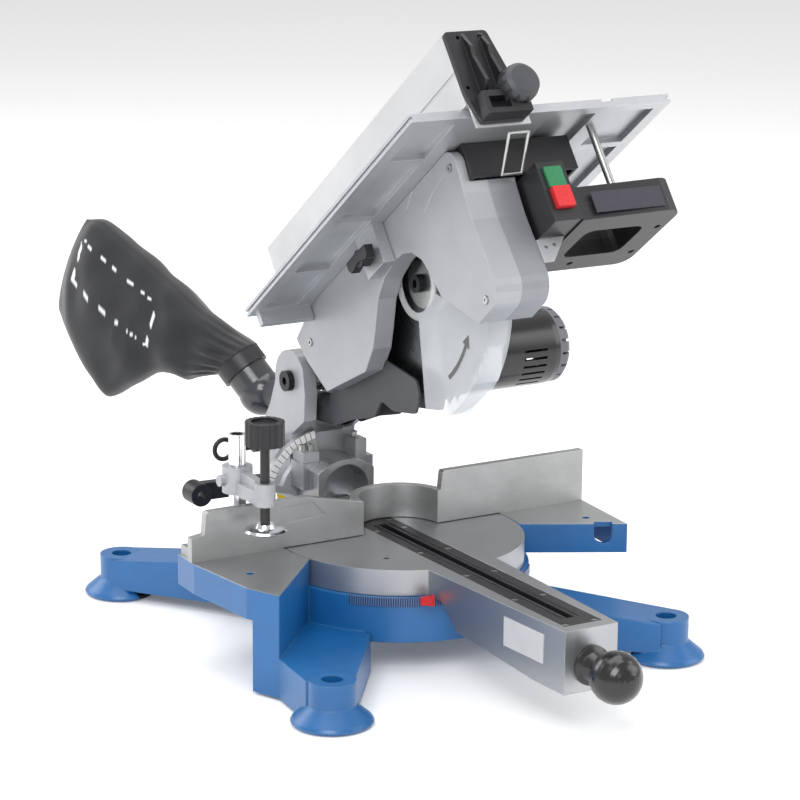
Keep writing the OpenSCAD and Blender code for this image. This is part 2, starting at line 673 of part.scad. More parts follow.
// The duct runs from here to the elbow
duct_from = [-25, -55];
duct_to = [134, 43];
duct_r = 16.5;
duct_len = norm(duct_to - duct_from) - 18;
module duct(a, b, r) translate([0, duct_from[0], duct_from[1]])
    rotate([atan2(duct_to[1] - duct_from[1], duct_to[0] - duct_from[0]) - 90, 0, 0])
    translate([0, 0, a]) cylinder(h = b - a, r = r);

chute_side = soften([[-22, -46], [-36, -36], [-145, -36], [-211, -100], [-209, -116], [-190, -130],
    [-149, -108], [-133, -88.5], [-108, -97], [-66, -80], [-22, -68]], 5);

module chute_room() along_x(-17.3, 17.3) polygon(inset(chute_side, -0.3));

module chip_chute() color("#3a3b3e") head() difference() {
    union() {
        for (x = [[-17, -14.3], [14.3, 17]]) along_x(x[0], x[1]) polygon(chute_side);
        along_x(-17, 17) polygon([[-28, -41.3], [-36, -36], [-110, -36], [-110, -38.5], [-37, -38.5], [-30, -43]]);
        // round duct towards the elbow, under the hinge
        duct(0, duct_len, duct_r);
    }
    duct(-30, duct_len + 1, duct_r - 2.5);
}

module riving_knife() color("#b8bbbf") head() translate([0, arbor[0], arbor[1]]) along_x(-1.1, 1.1)
    difference() {
        polygon(concat(arc([0, 0], blade_r + 4, 22, 62, 14), arc([0, 0], blade_r + 14.5, 62, 22, 14)));
    }

module table_shroud() color("#19191b") head() difference() {
    block([-27.7, front_h - 6, hood_z + 0.3], [96, hood_back, seat_w - 0.4]);
    block([-24, front_h - 2, hood_z - 1], [92, hood_back - 4, seat_w - 5]);
    // clear of the switch box's top and of the post
    block([house_x1 + 0.5, -420, hood_z - 2], [100, -399, hood_z + 6]);
}

// ---------- motor ----------

module motor_housing() color("#202023") head() translate([0, motor_axis[0], motor_axis[1]]) difference() {
    union() {
        rod_x(52.01, motor_end - 14, motor_r);
        translate([motor_end - 14, 0, 0]) rotate([0, 90, 0]) cylinder(h = 6, r1 = motor_r, r2 = motor_r - 1);
    }
    rod_x(57, motor_end, motor_r - 3);
    rod_x(51, 60, 10.5);
    // air slots underneath
    for (i = [0:5]) rotate([i * 12 - 150, 0, 0]) translate([180, 0, 0]) block([0, motor_r - 6, -1.5], [30, motor_r + 2, 1.5]);
}

module motor_end_cap() color("#77797d") head() translate([motor_end - 8, motor_axis[0], motor_axis[1]]) difference() {
    rotate([0, 90, 0]) rotate_extrude() polygon([[0, 0.01], [motor_r - 1, 0.01], [motor_r - 1.5, 10],
        [motor_r - 6, 15], [0, 17]]);
    rod_x(-1, 10, motor_r - 5);
    for (i = [0:17]) rotate([i * 20, 0, 0]) block([3, motor_r - 12, -1.4], [30, motor_r + 2, 1.4]);
}

module motor_rotor() color("#9c7a3c") head() translate([0, motor_axis[0], motor_axis[1]]) {
    rod_x(belt_x - belt_w / 2, motor_end - 20, 5);
    rod_x(belt_x - belt_w / 2, belt_x + belt_w / 2, motor_pulley_r);
    rod_x(90, 170, 26);
    rod_x(64, 76, 32);
    rod_x(186, 202, 14);
}

module drive_belt() color("#2a2a2a") head() along_x(belt_x - belt_w / 2 + 0.3, belt_x + belt_w / 2 - 0.3) difference() {
    polygon(belt_case(0.3));
    polygon(belt_case(0.3 - belt_t));
}

module rating_plate() color("#ededf0") head() translate([0, motor_axis[0], motor_axis[1]])
    along_x(74, 150) sector(motor_r + 0.01, motor_r + 0.7, 196, 252);

// ---------- handle and switch ----------

handle_outer = concat([[switch_x[1] + 0.4, handle_front + 4]],
    arc([handle_end - 16, handle_front + 16], 16, -90, 0, 5),
    arc([handle_end - 16, handle_back - 16], 16, 0, 90, 5),
    [[house_x1 + 24.5, handle_back], [house_x1 + 24.5, handle_back - 28], [switch_x[1] + 0.4, handle_back - 28]]);
finger_gap = soften([[80, -446], [150, -446], [150, -388], [80, -388]], 12);
split_w = (handle_w[0] + handle_w[1]) / 2;

module handle_half(w0, w1, open0, open1) difference() {
    translate([0, 0, w0]) linear_extrude(w1 - w0) polygon(handle_outer);
    translate([0, 0, open0]) linear_extrude(open1 - open0) difference() {
        polygon(inset(handle_outer, 3));
        polygon(inset(finger_gap, -3));
    }
    translate([0, 0, w0 - 1]) linear_extrude(w1 - w0 + 2) polygon(finger_gap);
}

module handle_lower() color("#1b1b1e") head() difference() {
    handle_half(handle_w[0], split_w - 0.01, handle_w[0] + 3, split_w + 1);
    for (p = [[168, -440], [168, -385], [100, -372]]) translate([p[0], p[1], handle_w[0] - 1]) cylinder(h = 3, r = 3.4);
}

module handle_upper() color("#1b1b1e") head() difference() {
    union() {
        handle_half(split_w, handle_w[1], split_w - 1, handle_w[1] - 3);
        translate([post_place[0], post_place[1], split_w]) cylinder(h = handle_t / 2 - 0.5, r = post_r + 3);
    }
    translate([post_place[0], post_place[1], split_w - 1]) cylinder(h = 60, r = post_r + run_fit);
}

module grip_panel() color("#3b3a44") head() {
    along_x(76, 158) polygon([[handle_front - 1.2, handle_w[0] + 5], [handle_front - 0.01, handle_w[0] + 5],
        [handle_front - 0.01, handle_w[1] - 9], [handle_front - 1.2, handle_w[1] - 9]]);
}

module switch_box() color("#161618") head() difference() {
    block([switch_x[0], switch_h[0], switch_w[0]], [switch_x[1], switch_h[1], switch_w[1]]);
    block([switch_x[0] + 3, switch_h[0] + 3, switch_w[0] + 3], [switch_x[1] - 3, switch_h[1] - 3, switch_w[1] - 3]);
    block([34 - button_clear, switch_h[0] - 1, -22 - button_clear], [54 + button_clear, switch_h[0] + 10, 0 + button_clear]);
    block([34 - button_clear, switch_h[0] - 1, -45 - button_clear], [54 + button_clear, switch_h[0] + 10, -23 + button_clear]);
}

module start_button() color("#2f7d53") head() {
    block([34, switch_h[0] - 3, -22], [54, switch_h[0] + 9, 0]);
    block([39, switch_h[0] + 8.99, -16], [49, switch_h[0] + 16, -6]);
}

module stop_button() color("#c93434") head() {
    block([34, switch_h[0] - 6, -45], [54, switch_h[0] + 9, -23]);
    block([39, switch_h[0] + 8.99, -39], [49, switch_h[0] + 16, -29]);
}

module switch_bracket() color("#e2e2e6") head() difference() {
    along_y(-439.5, -437) polygon([[house_x1 + 0.01, -60], [57, -58.3], [36, -84], [house_x1 + 0.01, -84]]);
    for (p = [[32, -68], [42, -66]]) translate([p[0], 0, p[1]]) rod_y(-445, -430, 2.2);
}

module wire_bail() color("#55575a") head() translate([0, front_h - 10, 8]) {
    rod_x(2, 26, 1.6);
    for (x = [2, 24.4]) translate([x, 0, 0]) rotate([52, 0, 0]) translate([0.8, 0, -0.8]) cylinder(h = 46, r = 1.6);
    rotate([52, 0, 0]) translate([0, 0, 44]) rod_x(2.8, 25.2, 1.6);
}

// ---------- dust outlet ----------

elbow_at = [-4, duct_to[0], duct_to[1]];
elbow_r = 27;

module along_bag() head() translate(elbow_at) rotate(bag_turn) rotate([bag_tilt, 0, 0]) rotate(bag_roll) children();

// The elbow's mouth and the bag's neck point further up than the bag
module along_neck() along_bag() rotate([neck_lift, 0, 0]) children();
neck_lift = 32;
neck_len = 48;

module dust_elbow() color("#47484b") difference() {
    union() {
        head() translate(elbow_at) sphere(r = elbow_r);
        along_neck() cylinder(h = neck_len, r = 25);
    }
    along_neck() cylinder(h = neck_len + 2, r = 22.5);
    head() translate(elbow_at) sphere(r = elbow_r - 2.5);
    head() duct(0, duct_len + 0.01, duct_r);
    head() duct(duct_len - 8, duct_len + 12, duct_r - 2.5);
}

// The bag leaves the elbow to the back and to the left
bag_turn = 44.2;
bag_tilt = -45.7;
bag_roll = -25.6;

module dust_collar() color("#18181a") along_neck() difference() {
    translate([0, 0, neck_len - 18]) cylinder(h = 18, r = 28.5);
    translate([0, 0, neck_len - 19]) cylinder(h = 20, r = 25.01);
}

module dust_bag() color("#2a2a2c") along_bag() along_x(-bag_half, bag_half) polygon(bag_side);

// The bag's side, as (down, along)
bag_half = 34;
neck_mouth = (neck_len + gap) * [-sin(neck_lift), cos(neck_lift)];
neck_edge = 29 * [cos(neck_lift), sin(neck_lift)];
bag_side = [neck_mouth - neck_edge, [-55, 52], [-63, 81], [-88, 148], [-115, 226], [-121, 248],
    [-112, 264], [-75, 278], [-32, 289], [-6, 288], [28, 271], [63, 205], [86, 176], [51, 150], [22, 114],
    [20, 91], [10, 70], neck_mouth + neck_edge];

// ---------- blade ----------

module tooth_ring() polygon([for (i = [0:teeth - 1]) for (k = [[0, blade_r], [0.12, blade_r - 7],
    [0.55, blade_r - 5]]) let (a = 360 * (i + k[0]) / teeth) k[1] * [cos(a), sin(a)]]);

module saw_blade() color("#9da0a3") head() translate([0, arbor[0], arbor[1]]) along_x(-blade_t / 2, blade_t / 2)
    difference() {
        tooth_ring();
        circle(r = shaft_r + 0.01);
        for (i = [0:5]) rotate(i * 60 + 8) translate([blade_r - 30, -0.7]) square([40, 1.4]);
    }

module blade_flanges() color("#c9cbcd") head() translate([0, arbor[0], arbor[1]]) {
    difference() {
        union() {
            rod_x(-7, -blade_t / 2 - 0.01, 26);
            rod_x(blade_t / 2 + 0.01, 8, 26);
        }
        rod_x(-20, 20, shaft_r + 0.01);
    }
}

module arbor_shaft() color("#4a4b4e") head() translate([0, arbor[0], arbor[1]]) difference() {
    union() {
        rod_x(-8, belt_x + belt_w / 2, shaft_r);
        rod_x(-15, -7.01, 9.5);
        rod_x(belt_x - belt_w / 2, belt_x + belt_w / 2, arbor_pulley_r);
    }
    translate([-16, 0, 0]) rotate([0, 90, 0]) cylinder(h = 6, r = 5, $fn = 6);
}

guard_a0 = 270 - 48;
guard_a1 = 270 + 27;

module lower_guard() color([0.85, 0.88, 0.9, 0.35]) head() translate([0, arbor[0], arbor[1]]) {
    for (x = [[-guard_half, -guard_half + 1.6], [guard_half - 1.6, guard_half]]) difference() {
        union() {
            along_x(x[0], x[1]) polygon(concat([[0, 0]], arc([0, 0], guard_r + guard_rim, guard_a0, guard_a1, 24)));
            rod_x(x[0], x[1], 38);
        }
        rod_x(x[0] - 1, x[1] + 1, 30);
    }
    along_x(-guard_half, guard_half) sector(guard_r, guard_r + guard_rim, guard_a0, guard_a1);
}

// ---------- saw table ----------

module upper_table() color("#d9dadc") head() difference() {
    union() {
        block([table_x[0], table_h[0], under_w], [table_x[1], table_h[1], top_w]);
        // rear apron on the left, and the ledge that the height clamp hangs from
        block([table_x[0] + 8, table_h[1] - 14, under_w - 16], [cover_x0 - 1.2, table_h[1] - 6, under_w + 1]);
        block([cover_x0 - 14, -282, under_w - 44], [cover_x0 - 0.6, -242, under_w + 1]);
    }
    // slot of the throat plate
    block([-24.3, -412, under_w - 1], [24.3, -126, top_w + 1]);
    // recessed panels between the ribs
    for (h = [[table_h[0] + 12, -420], [-410, -300], [-290, -180], [-170, table_h[1] - 20]]) {
        block([table_x[0] + 14, h[0], under_w - 1], [cover_x0 - 18, h[1], top_w - 3.5]);
        block([52, h[0], under_w - 1], [108, h[1], top_w - 3.5]);
        block([128, h[0], under_w - 1], [table_x[1] - 14, h[1], top_w - 3.5]);
    }
    // groove along each side and across the top for the mitre gauge
    block([table_x[0] - 1, table_h[0] - 1, top_w - 6], [table_x[0] + 3, table_h[1] + 1, top_w - 3]);
    block([table_x[1] - 3, table_h[0] - 1, top_w - 6], [table_x[1] + 1, table_h[1] + 1, top_w - 3]);
    block([111, table_h[0] - 1, top_w - 3], [125, table_h[1] + 1, top_w + 1]);
    // bores of the posts, and the height clamp's screw
    for (p = posts) translate([p[0], p[1], under_w - 1]) cylinder(h = 5, r = post_r);
    translate([0, -262, under_w - 28]) rod_x(cover_x0 - 20, cover_x0 + 1, 3 + run_fit);
}

posts = [post_place];

module table_insert() color("#26262a") head() difference() {
    block([-24, -411.7, top_w - 4], [24, -126.3, top_w - 0.1]);
    block([-4.5, -396, top_w - 5], [4.5, -132, top_w + 1]);
}

module table_posts() color("#8f9194") head() for (p = posts)
    translate([p[0], p[1], handle_w[1] - 26]) cylinder(h = under_w + 4 - handle_w[1] + 26 - 0.02, r = post_r);

module height_clamp_knob() color("#1b1b1d") head() translate([0, -262, under_w - 28]) {
    rod_x(cover_x0 - 24, cover_x0 - 1.4, 3);
    rod_x(cover_x0 - 30, cover_x0 - 18, 9);
    along_x(cover_x0 - 32, cover_x0 - 22) polygon([[-22, -3], [-18, -8], [0, -4], [18, -8], [22, -3], [22, 5],
        [0, 6], [-22, 5]]);
}

// ---------- rip fence ----------

rip_w = top_w + 0.3;

module rip_fence() color("#e3e4e5") head() {
    difference() {
        block([rip_x[0], rip_front, rip_w], [rip_x[1], rip_back, rip_w + rip_h]);
        block([rip_x[0] + 3, rip_front - 1, rip_w + 3], [rip_x[1] - 3, rip_back + 1, rip_w + rip_h - 3]);
        // clamping groove half way up each face
        for (x = [rip_x[0] - 1, rip_x[1] - 1.2]) block([x, rip_front - 1, rip_w + rip_h * 0.4],
            [x + 2.2, rip_back + 1, rip_w + rip_h * 0.4 + 6]);
    }
    // guide plate that hangs in front of the table's edge
    block([rip_x[0] + 4, rip_front + 0.5, rip_w - 24], [16, rip_front + 3, rip_w - 1]);
    block([rip_x[0] + 4, rip_front + 0.5, rip_w - 2], [rip_x[1] - 4, rip_front + 3, rip_w + 1.5]);
}

rib = 4;
rip_knob_at = [1, rip_w + 7];
rip_box = [-42, 9];
rip_screw_at = [[-36, rip_w + rip_h - 6], [-12, rip_w + rip_h - 6], [-44, rip_w + 16]];

module rip_fence_bracket() color("#1f1f21") head() difference() {
    union() {
        along_y(rip_front - 5, rip_front - 0.01) polygon(soften([[rip_x[0], rip_w + rip_h + 1],
            [-2, rip_w + rip_h + 1], [8, rip_w + 30], [9, rip_w - 22], [rip_box[0], rip_w - 22],
            [rip_x[0], rip_w + 10]], 4));
        for (x = [rip_x[0] + 18, -12]) along_x(x, x + rib) polygon([[rip_front - 4, rip_w + rip_h],
            [rip_front - 14, rip_w + rip_h - 20], [rip_front - 12, rip_w + rip_h - 30],
            [rip_front - 20, rip_w + 16], [rip_front - 4, rip_w]]);
        block([rip_box[0], rip_front - 22, rip_w - 21], [rip_box[1] - 1, rip_front - 4, rip_w + 3]);
        translate([rip_knob_at[0], 0, rip_knob_at[1]]) rod_y(rip_front - 14, rip_front - 4, 16);
    }
    block([rip_box[0] + 5, rip_front - 27, rip_w - 16], [-14, rip_front - 10, rip_w - 3]);
    translate([rip_knob_at[0], 0, rip_knob_at[1]]) rod_y(rip_front - 30, rip_front + 1, 4 + run_fit);
    translate([rip_knob_at[0], 0, rip_knob_at[1]]) rod_y(rip_front - 40, rip_front - 14, 20.5);
    for (p = rip_screw_at) translate([p[0], 0, p[1]]) rod_y(rip_front - 8, rip_front + 1, 2.2);
}

module rip_fence_knob() color("#3a3b3e") head()
    translate([rip_knob_at[0], rip_front - 14.3, rip_knob_at[1]]) rotate([90, 0, 0]) difference() {
        union() {
            rotate_extrude() polygon([[0, 0], [19.5, 0], [19.5, 12], [18, 17], [14, 20], [0, 21.5]]);
            translate([0, 0, -12]) cylinder(h = 12.01, r = 4);
        }
        for (i = [0:11]) rotate(i * 30) translate([21.5, 0, -1]) cylinder(h = 17, r = 3.2);
    }

// ---------- output ----------

base_casting();
mitre_scale();
fence();
fence_bolts();
swivel_bolt();
foot_pads();
turntable_casting();
kerf_insert();
insert_screws();
mitre_pointer();
arm_label();
bevel_scale();
tilt_bolt();
stop_blocks();
stop_screws();
front_lock_knob();
lock_rod();
clamp_post();
clamp_arm();
clamp_screw();
clamp_pad();
bevel_bracket();
bevel_pointer();
hinge_bolt();
return_spring();
bevel_lock_lever();
head_lock_pin();
head_cover();
gear_housing();
cover_screws();
chip_chute();
riving_knife();
table_shroud();
motor_housing();
motor_end_cap();
motor_rotor();
drive_belt();
rating_plate();
handle_lower();
handle_upper();
grip_panel();
switch_box();
start_button();
stop_button();
switch_bracket();
wire_bail();
dust_elbow();
dust_collar();
dust_bag();
saw_blade();
blade_flanges();
arbor_shaft();
lower_guard();
upper_table();
table_insert();
table_posts();
height_clamp_knob();
rip_fence();
rip_fence_bracket();
rip_fence_knob();
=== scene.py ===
import math

import bpy
import numpy as np
from mathutils import Matrix, Vector


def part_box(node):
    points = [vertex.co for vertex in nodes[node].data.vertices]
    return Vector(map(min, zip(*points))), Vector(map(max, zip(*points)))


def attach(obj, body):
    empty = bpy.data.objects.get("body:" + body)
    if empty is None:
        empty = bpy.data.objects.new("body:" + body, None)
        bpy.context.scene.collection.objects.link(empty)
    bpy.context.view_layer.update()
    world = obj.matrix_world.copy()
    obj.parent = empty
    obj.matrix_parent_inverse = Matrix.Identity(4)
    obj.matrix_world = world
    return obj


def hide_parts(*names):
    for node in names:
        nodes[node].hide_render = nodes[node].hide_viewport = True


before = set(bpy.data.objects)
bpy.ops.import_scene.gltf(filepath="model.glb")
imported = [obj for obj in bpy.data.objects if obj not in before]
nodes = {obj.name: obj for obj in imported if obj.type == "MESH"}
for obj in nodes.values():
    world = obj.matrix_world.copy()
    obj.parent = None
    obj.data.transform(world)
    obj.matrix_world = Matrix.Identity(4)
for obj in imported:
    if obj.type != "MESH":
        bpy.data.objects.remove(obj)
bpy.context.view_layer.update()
mm = 0.001
print("frame loaded:", len(nodes), "nodes")

# the camera stands low at the front left, and frames the saw on a plain pale floor
cameraPlace = {"eye": (-1.4721, -2.4990, 0.9703), "target": (-0.0216, -0.0191, 0.2511), "roll": 0.3,
               "lens": 126.44, "shift": (0.0285, 0.0058)}


def makeCamera(place):
    data = bpy.data.cameras.new("photoCamera")
    data.lens, data.sensor_width = place["lens"], 36
    data.shift_x, data.shift_y = place["shift"]
    data.clip_end = 50
    camera = bpy.data.objects.new("photoCamera", data)
    bpy.context.scene.collection.objects.link(camera)
    look = Vector(place["target"]) - Vector(place["eye"])
    turn = look.to_track_quat("-Z", "Y").to_matrix().to_4x4()
    camera.matrix_world = (Matrix.Translation(place["eye"]) @ turn
                           @ Matrix.Rotation(math.radians(place["roll"]), 4, "Z"))
    bpy.context.scene.camera = camera


makeCamera(cameraPlace)

lights = [
    {"name": "keyLight", "at": (-2.2, -2.6, 3.0), "size": 2.2, "watts": 105},
    {"name": "fillLight", "at": (2.8, -1.8, 1.8), "size": 2.5, "watts": 42},
    {"name": "topLight", "at": (0.2, 0.6, 3.4), "size": 3.0, "watts": 70},
    {"name": "backLight", "at": (-1.8, 2.8, 1.9), "size": 2.0, "watts": 40},
]


def makeLight(one):
    data = bpy.data.lights.new(one["name"], "AREA")
    data.size, data.energy = one["size"], one["watts"]
    lamp = bpy.data.objects.new(one["name"], data)
    bpy.context.scene.collection.objects.link(lamp)
    aim = Vector((0, 0, 0.25)) - Vector(one["at"])
    lamp.matrix_world = Matrix.Translation(one["at"]) @ aim.to_track_quat("-Z", "Y").to_matrix().to_4x4()


for one in lights:
    makeLight(one)


def srgb(hexColour, alpha=1.0):
    # each channel goes from the sRGB curve to linear light
    parts = [int(hexColour[i:i + 2], 16) / 255 for i in (1, 3, 5)]
    return tuple(c / 12.92 if c <= 0.04045 else ((c + 0.055) / 1.055) ** 2.4 for c in parts) + (alpha,)


def addNode(tree, kind, props=None, values=None, links=None):
    node = tree.nodes.new(kind)
    for key, value in (props or {}).items():
        setattr(node, key, value)
    for key, value in (values or {}).items():
        node.inputs[key].default_value = value
    for key, socket in (links or {}).items():
        tree.links.new(socket, node.inputs[key])
    return node


world = bpy.data.worlds.new("paleRoom")
bpy.context.scene.world = world
world.use_nodes = True
world.node_tree.nodes["Background"].inputs["Color"].default_value = srgb("#ffffff")
world.node_tree.nodes["Background"].inputs["Strength"].default_value = 0.66
bpy.context.scene.view_settings.view_transform = "Standard"


def blankMaterial(name):
    material = bpy.data.materials.new(name)
    material.use_nodes = True
    material.node_tree.nodes.clear()
    return material, material.node_tree


def finish(name, colour, patch="#000000", patchMix=0.0, patchMm=60.0, roughness=0.5, roughSpread=0.08,
           metallic=0.0, coat=0.0, grainMm=1.0, grainDepthMm=0.02, stretch=(1, 1, 1), edgeMm=0.8,
           edgeWearHighlightColour="#ffffff", edgeWearHighlightMix=0.0, sheen=0.0, glow=0.0, bareAbove=None):
    # one opaque finish: soft patches of a second colour, a fine relief, rounded edges painted lighter (part wear,
    # part painted highlight)
    material, tree = blankMaterial(name)
    place = addNode(tree, "ShaderNodeTexCoord").outputs["Object"]
    along = addNode(tree, "ShaderNodeMapping", values={"Scale": stretch}, links={"Vector": place})
    patches = addNode(tree, "ShaderNodeTexNoise", values={"Scale": 1000 / patchMm, "Detail": 4.0,
                      "Roughness": 0.6}, links={"Vector": place})
    grain = addNode(tree, "ShaderNodeTexNoise", values={"Scale": 1000 / grainMm, "Detail": 3.0,
                    "Roughness": 0.55}, links={"Vector": along.outputs["Vector"]})
    share = addNode(tree, "ShaderNodeMapRange", values={"From Min": 0.35, "From Max": 0.7, "To Min": 0.0,
                    "To Max": patchMix}, links={"Value": patches.outputs["Fac"]})
    base = addNode(tree, "ShaderNodeMix", {"data_type": "RGBA"}, {6: srgb(colour), 7: srgb(patch)},
                   {0: share.outputs["Result"]})
    rounded = addNode(tree, "ShaderNodeBevel", {"samples": 4}, {"Radius": edgeMm * mm})
    flat = addNode(tree, "ShaderNodeNewGeometry")
    # painted edge highlight, partly wear: where the rounded normal leaves the face normal, the colour turns to the
    # lighter edge colour whatever the light
    bend = addNode(tree, "ShaderNodeVectorMath", {"operation": "DOT_PRODUCT"}, links={
        0: rounded.outputs["Normal"], 1: flat.outputs["Normal"]})
    edgeWearAndHighlight = addNode(tree, "ShaderNodeMapRange", values={"From Min": 0.995, "From Max": 0.8, "To Min": 0.0,
                   "To Max": edgeWearHighlightMix}, links={"Value": bend.outputs["Value"]})
    shade = addNode(tree, "ShaderNodeMix", {"data_type": "RGBA"}, {7: srgb(edgeWearHighlightColour)},
                    {0: edgeWearAndHighlight.outputs["Result"], 6: base.outputs[2]})
    gloss = addNode(tree, "ShaderNodeMapRange", values={"From Min": 0.3, "From Max": 0.7,
                    "To Min": roughness - roughSpread, "To Max": roughness + roughSpread},
                    links={"Value": grain.outputs["Fac"]})
    top, bare = shade.outputs[2], None
    if bareAbove is not None:
        # paint gives way to milled metal on the level faces above this height
        height = addNode(tree, "ShaderNodeSeparateXYZ", links={0: place}).outputs["Z"]
        above = addNode(tree, "ShaderNodeMath", {"operation": "GREATER_THAN"}, {1: bareAbove}, {0: height})
        upright = addNode(tree, "ShaderNodeSeparateXYZ", links={0: flat.outputs["Normal"]}).outputs["Z"]
        level = addNode(tree, "ShaderNodeMath", {"operation": "GREATER_THAN"}, {1: 0.9}, {0: upright})
        bare = addNode(tree, "ShaderNodeMath", {"operation": "MULTIPLY"}, links={
            0: above.outputs["Value"], 1: level.outputs["Value"]}).outputs["Value"]
        top = addNode(tree, "ShaderNodeMix", {"data_type": "RGBA"}, {7: srgb("#b4b5b6")},
                      {0: bare, 6: shade.outputs[2]}).outputs[2]
    relief = addNode(tree, "ShaderNodeBump", values={"Strength": 0.6, "Distance": grainDepthMm * mm},
                     links={"Height": grain.outputs["Fac"], "Normal": rounded.outputs["Normal"]})
    surface = addNode(tree, "ShaderNodeBsdfPrincipled", values={
        "Metallic": metallic, "Coat Weight": coat, "Coat Roughness": 0.25, "Sheen Weight": sheen,
        "Sheen Roughness": 0.4, "Emission Color": srgb(colour), "Emission Strength": glow}, links={
        "Base Color": top, "Roughness": gloss.outputs["Result"], "Normal": relief.outputs["Normal"]})
    if bare is not None:
        tree.links.new(bare, surface.inputs["Metallic"])
    addNode(tree, "ShaderNodeOutputMaterial", links={"Surface": surface.outputs["BSDF"]})
    return material


def turnedMetal(name, colour, centre, axis, pitchMm, roughness, metallic=0.9):
    # lathe or grinding marks: noise that depends only on the distance from an axis, so it makes rings
    material, tree = blankMaterial(name)
    place = addNode(tree, "ShaderNodeTexCoord").outputs["Object"]
    local = addNode(tree, "ShaderNodeVectorMath", {"operation": "SUBTRACT"}, {1: centre}, {0: place})
    flatten = addNode(tree, "ShaderNodeVectorMath", {"operation": "MULTIPLY"},
                      {1: tuple(0.0 if i == axis else 1.0 for i in range(3))}, {0: local.outputs["Vector"]})
    radius = addNode(tree, "ShaderNodeVectorMath", {"operation": "LENGTH"},
                     links={0: flatten.outputs["Vector"]})
    rings = addNode(tree, "ShaderNodeTexNoise", {"noise_dimensions": "1D"},
                    {"Scale": 1000 / pitchMm, "Detail": 2.0}, {"W": radius.outputs["Value"]})
    cloud = addNode(tree, "ShaderNodeTexNoise", values={"Scale": 22.0, "Detail": 3.0}, links={"Vector": place})
    tone = addNode(tree, "ShaderNodeMapRange", values={"From Min": 0.3, "From Max": 0.7, "To Min": 0.0,
                   "To Max": 0.22}, links={"Value": cloud.outputs["Fac"]})
    shade = addNode(tree, "ShaderNodeMix", {"data_type": "RGBA"}, {6: srgb(colour), 7: srgb("#8d9094")},
                    {0: tone.outputs["Result"]})
    rounded = addNode(tree, "ShaderNodeBevel", {"samples": 4}, {"Radius": 0.8 * mm})
    relief = addNode(tree, "ShaderNodeBump", values={"Strength": 0.5, "Distance": 0.03 * mm},
                     links={"Height": rings.outputs["Fac"], "Normal": rounded.outputs["Normal"]})
    gloss = addNode(tree, "ShaderNodeMapRange", values={"From Min": 0.3, "From Max": 0.7, "To Min":
                    roughness - 0.08, "To Max": roughness + 0.1}, links={"Value": rings.outputs["Fac"]})
    surface = addNode(tree, "ShaderNodeBsdfPrincipled", values={"Metallic": metallic},
                      links={"Base Color": shade.outputs[2], "Roughness": gloss.outputs["Result"],
                             "Normal": relief.outputs["Normal"]})
    addNode(tree, "ShaderNodeOutputMaterial", links={"Surface": surface.outputs["BSDF"]})
    return material


def calc(tree, operation, *values):
    # one math node; each value is a number or another node's output
    node = tree.nodes.new("ShaderNodeMath")
    node.operation = operation
    for i, value in enumerate(values):
        if isinstance(value, (int, float)):
            node.inputs[i].default_value = value
        else:
            tree.links.new(value, node.inputs[i])
    return node.outputs["Value"]


# a curved arrow printed on the guard's outer face: lengths in mm, angles in degrees below the horizontal
arrow = {"radius": 108, "half": 2.4, "tip": 18, "headLength": 7, "headHalf": 7, "tail": 52, "face": -12.4}


def arrowMask(tree, place, centre, a):
    # inside the arrow where the distance from its middle circle is less than its half width at that angle
    local = addNode(tree, "ShaderNodeVectorMath", {"operation": "SUBTRACT"}, {1: centre}, {0: place})
    parts = addNode(tree, "ShaderNodeSeparateXYZ", links={0: local.outputs["Vector"]})
    back, up = parts.outputs["Y"], parts.outputs["Z"]
    squares = calc(tree, "ADD", calc(tree, "MULTIPLY", back, back), calc(tree, "MULTIPLY", up, up))
    radius = calc(tree, "SQRT", squares)
    angle = calc(tree, "MULTIPLY", calc(tree, "ARCTAN2", calc(tree, "MULTIPLY", up, -1.0),
                 calc(tree, "MULTIPLY", back, -1.0)), 180 / math.pi)
    run = calc(tree, "SUBTRACT", angle, a["tip"])
    inHead = calc(tree, "LESS_THAN", run, a["headLength"])
    headHalf = calc(tree, "MULTIPLY", calc(tree, "MULTIPLY", run, a["headHalf"] / a["headLength"]), inHead)
    bodyHalf = calc(tree, "MULTIPLY", calc(tree, "SUBTRACT", 1.0, inHead), a["half"])
    away = calc(tree, "ABSOLUTE", calc(tree, "SUBTRACT", calc(tree, "MULTIPLY", radius, 1000.0), a["radius"]))
    near = calc(tree, "LESS_THAN", away, calc(tree, "ADD", headHalf, bodyHalf))
    within = calc(tree, "MULTIPLY", calc(tree, "GREATER_THAN", run, 0.0),
                  calc(tree, "LESS_THAN", angle, a["tail"]))
    outer = calc(tree, "LESS_THAN", parts.outputs["X"], a["face"] * mm)
    return calc(tree, "MULTIPLY", calc(tree, "MULTIPLY", near, within), outer)


def clearPlastic(name, colour, alpha, roughness, ior, printAt=None):
    # thin clear moulding: most light goes straight through
    material, tree = blankMaterial(name)
    place = addNode(tree, "ShaderNodeTexCoord").outputs["Object"]
    haze = addNode(tree, "ShaderNodeTexNoise", values={"Scale": 90.0, "Detail": 3.0}, links={"Vector": place})
    gloss = addNode(tree, "ShaderNodeMapRange", values={"From Min": 0.3, "From Max": 0.8, "To Min": roughness,
                    "To Max": roughness + 0.1}, links={"Value": haze.outputs["Fac"]})
    surface = addNode(tree, "ShaderNodeBsdfPrincipled", values={"Base Color": srgb(colour), "IOR": ior,
                      "Alpha": alpha}, links={"Roughness": gloss.outputs["Result"]})
    if printAt is not None:
        mask = arrowMask(tree, place, printAt, arrow)
        shade = addNode(tree, "ShaderNodeMix", {"data_type": "RGBA"},
                        {6: srgb(colour), 7: srgb("#2a2b2d")}, {0: mask})
        tree.links.new(shade.outputs[2], surface.inputs["Base Color"])
        tree.links.new(calc(tree, "MAXIMUM", mask, alpha), surface.inputs["Alpha"])
    addNode(tree, "ShaderNodeOutputMaterial", links={"Surface": surface.outputs["BSDF"]})
    material.surface_render_method = "BLENDED"
    return material


